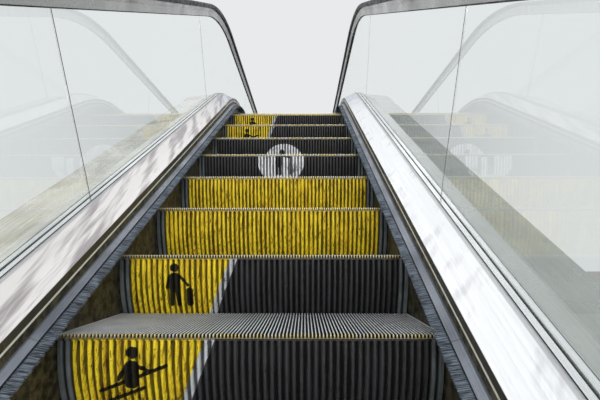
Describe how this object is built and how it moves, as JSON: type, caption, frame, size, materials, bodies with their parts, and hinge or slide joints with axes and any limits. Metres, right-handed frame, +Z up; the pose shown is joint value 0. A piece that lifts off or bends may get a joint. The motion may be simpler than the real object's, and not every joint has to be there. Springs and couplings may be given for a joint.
{
  "type": "escalator",
  "caption": "Glass-sided escalator with cleated steps, painted risers, combs, brushed skirts, steel decks and rubber handrails, clad to a flat soffit.",
  "frame": {"origin": "underside of the lower bearing flange, at the middle of its outer edge", "axes": "+X to the right of someone riding up, +Y along the travel towards the upper landing, +Z up"},
  "size_m": [1.78, 11.1804, 3.6003],
  "materials": {
    "step_casting": "worn ribbed casting, risers with worn yellow and black paint",
    "floor_steel": "fine ribbed, scuffed",
    "comb": "worn yellow paint on aluminium",
    "cap_steel": "satin",
    "truss_paint": "matt grey primer",
    "skirt": "dark satin coating, scuffed",
    "brush_holder": "satin extrusion",
    "bristles": "dense nylon bristles",
    "deck_steel": "polished with wear streaks",
    "clamp_steel": "polished edge with black gaskets",
    "glass": "clear toughened glass, slightly green edge",
    "guide_steel": "satin",
    "handrail_rubber": "satin black",
    "outer_deck_steel": "satin with wear streaks",
    "cladding_paint": "satin pale grey",
    "soffit_paint": "satin pale grey"
  },
  "bodies": {
    "root": {"step_01": "step_casting", "step_02": "step_casting", "step_03": "step_casting", "step_04": "step_casting", "step_05": "step_casting", "step_06": "step_casting", "step_07": "step_casting", "step_08": "step_casting", "step_09": "step_casting", "step_10": "step_casting", "step_11": "step_casting", "step_12": "step_casting", "step_13": "step_casting", "step_14": "step_casting", "step_15": "step_casting", "step_16": "step_casting", "step_17": "step_casting", "step_18": "step_casting", "step_19": "step_casting", "step_20": "step_casting", "step_21": "step_casting", "floor_plates": "floor_steel", "comb_plates": "comb", "skirts": "skirt", "brush_holders": "brush_holder", "glass_clamps": "clamp_steel", "handrail_guides": "guide_steel", "newel_caps": "cap_steel", "lower_end_frame": "truss_paint", "upper_end_frame": "truss_paint", "brush_left": "bristles", "brush_right": "bristles", "inner_deck_left": "deck_steel", "inner_deck_right": "deck_steel", "glass_left": "glass", "glass_right": "glass", "handrail_left": "handrail_rubber", "handrail_right": "handrail_rubber", "outer_deck_left": "outer_deck_steel", "outer_deck_right": "outer_deck_steel", "side_cladding_left": "cladding_paint", "side_cladding_right": "cladding_paint", "truss_left": "truss_paint", "truss_right": "truss_paint", "soffit": "soffit_paint"}
  },
  "joints": []
}
